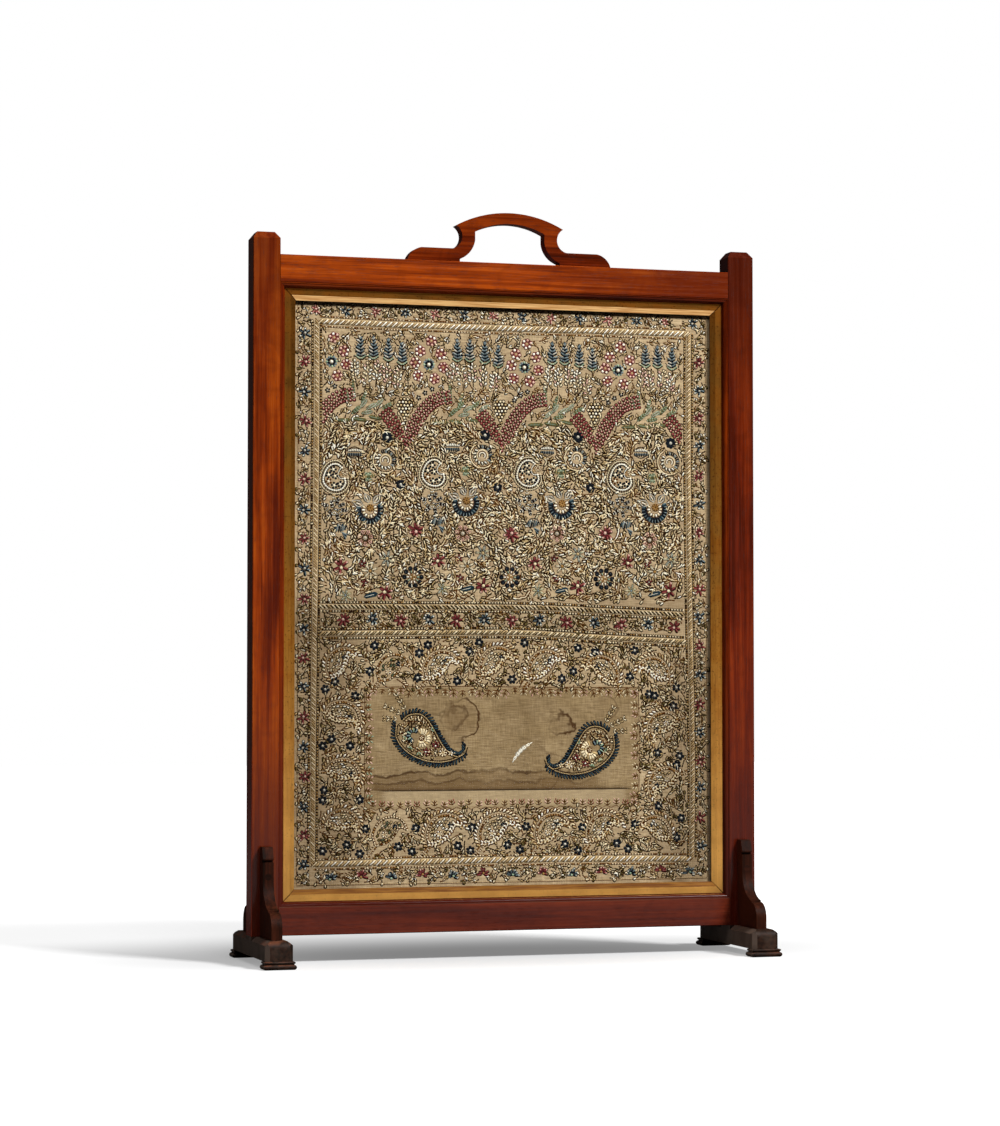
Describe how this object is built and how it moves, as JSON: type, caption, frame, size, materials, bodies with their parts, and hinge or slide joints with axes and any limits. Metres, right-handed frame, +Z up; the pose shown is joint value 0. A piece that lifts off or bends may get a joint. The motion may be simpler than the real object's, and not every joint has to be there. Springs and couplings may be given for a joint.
{
  "type": "fire screen",
  "caption": "Upright mahogany fire screen on two bracketed sledge feet, with a glazed embroidered panel in a gilt slip and a pierced carrying handle on top.",
  "frame": {"origin": "on the floor, midway between the two foot bars and under the middle of the posts", "axes": "+Z up, front of the screen faces -Y, +X to the right seen from the front"},
  "size_m": [0.646, 0.196, 0.911],
  "materials": {
    "mahogany": "waxed red-brown mahogany, low satin sheen",
    "dark_mahogany": "darker mahogany, worn satin",
    "gilt_slip": "wood gilded with leaf, worn satin gold",
    "glass": "clear thin glass",
    "linen": "undyed linen worked in coloured silks",
    "pine": "bare aged softwood",
    "brass": "small dull brass pins",
    "steel": "plain steel wood screws"
  },
  "bodies": {
    "root": {"left_post": "mahogany", "right_post": "mahogany", "top_rail": "mahogany", "bottom_rail": "mahogany", "moulding_top": "mahogany", "moulding_bottom": "mahogany", "moulding_left": "mahogany", "moulding_right": "mahogany", "handle": "mahogany", "gilt_slip_top": "gilt_slip", "gilt_slip_bottom": "gilt_slip", "gilt_slip_left": "gilt_slip", "gilt_slip_right": "gilt_slip", "glass_pane": "glass", "embroidered_panel": "linen", "strainer_top": "pine", "strainer_bottom": "pine", "strainer_left": "pine", "strainer_right": "pine", "back_board": "pine", "handle_dowels": "pine", "back_bead_top": "mahogany", "back_bead_bottom": "mahogany", "back_bead_left": "mahogany", "back_bead_right": "mahogany", "bead_pins": "brass", "left_foot_bar": "dark_mahogany", "right_foot_bar": "dark_mahogany", "left_front_pad": "dark_mahogany", "left_rear_pad": "dark_mahogany", "right_front_pad": "dark_mahogany", "right_rear_pad": "dark_mahogany", "left_front_bracket": "dark_mahogany", "left_rear_bracket": "dark_mahogany", "right_front_bracket": "dark_mahogany", "right_rear_bracket": "dark_mahogany", "bracket_pellets": "dark_mahogany", "bracket_screws": "steel"}
  },
  "joints": []
}
